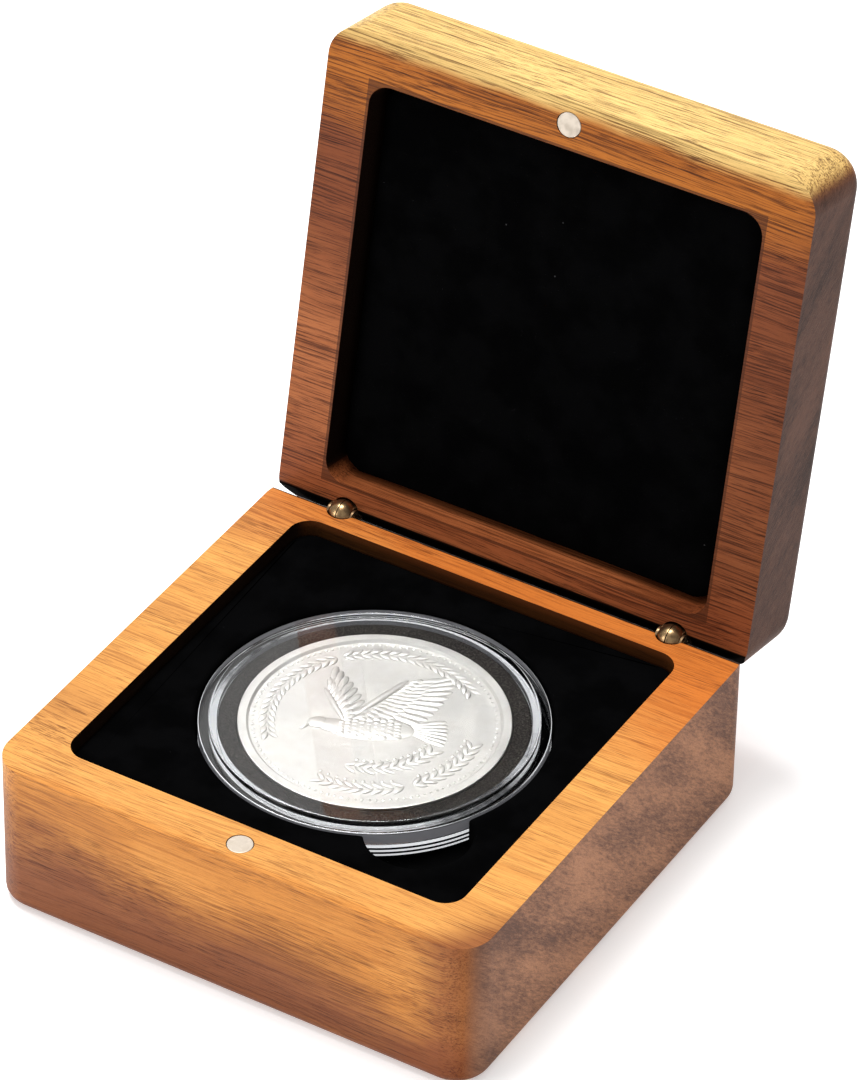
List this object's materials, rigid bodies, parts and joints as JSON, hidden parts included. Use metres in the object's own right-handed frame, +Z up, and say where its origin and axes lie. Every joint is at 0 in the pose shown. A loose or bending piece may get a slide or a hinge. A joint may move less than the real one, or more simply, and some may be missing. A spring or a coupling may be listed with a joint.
{
  "type": "coin presentation box with capsule",
  "caption": "Hinged hardwood presentation box, open, with a velvet well holding a clear round capsule, foam ring and silver coin.",
  "frame": {"origin": "centre of the base's flat underside", "axes": "+X along the front edge to the right, +Y from the front to the hinge side, +Z up"},
  "size_m": [0.082, 0.1097, 0.1023],
  "materials": {
    "base_wood": "satin lacquered hardwood, grain along the front edge",
    "lid_wood": "satin lacquered hardwood, a redder and darker board",
    "magnet": "satin nickel plating",
    "board": "grey backing card",
    "foam": "dark foam",
    "velvet": "black velvet with short pile",
    "clear_acrylic": "clear polished acrylic",
    "gasket": "dark fine-celled foam ring",
    "silver": "struck silver, soft lustre",
    "hinge_brass": "antique brass",
    "pin_brass": "dark antique brass"
  },
  "bodies": {
    "base": {"base_block": "base_wood", "base_magnet": "magnet", "base_board": "board", "base_lower_foam": "foam", "base_upper_foam": "foam", "base_velvet": "velvet", "left_lower_barrel": "hinge_brass", "left_pivot_pin": "pin_brass", "right_lower_barrel": "hinge_brass", "right_pivot_pin": "pin_brass"},
    "lid": {"lid_block": "lid_wood", "lid_magnet": "magnet", "lid_board": "board", "lid_foam": "foam", "lid_velvet": "velvet", "left_upper_barrel": "hinge_brass", "left_inner_link": "hinge_brass", "left_outer_link": "hinge_brass", "left_anchor_pin": "pin_brass", "right_upper_barrel": "hinge_brass", "right_inner_link": "hinge_brass", "right_outer_link": "hinge_brass", "right_anchor_pin": "pin_brass"},
    "capsule": {"capsule_lower_shell": "clear_acrylic", "gasket_ring": "gasket", "coin": "silver"},
    "capsule_cover": {"capsule_upper_shell": "clear_acrylic"}
  },
  "joints": [
    {"name": "lid_hinge", "type": "hinge", "parent": "base", "child": "lid", "pos_m": [0, 0.0377, 0.0252], "axis": [1, 0, 0], "range_deg": [0, 101]},
    {"name": "capsule_lift", "type": "slide", "parent": "base", "child": "capsule", "axis": [0, 0, 1], "range_m": [0, 0.003]},
    {"name": "capsule_cover_lift", "type": "slide", "parent": "capsule", "child": "capsule_cover", "axis": [0, 0, 1], "range_m": [0, 0.0016]}
  ]
}
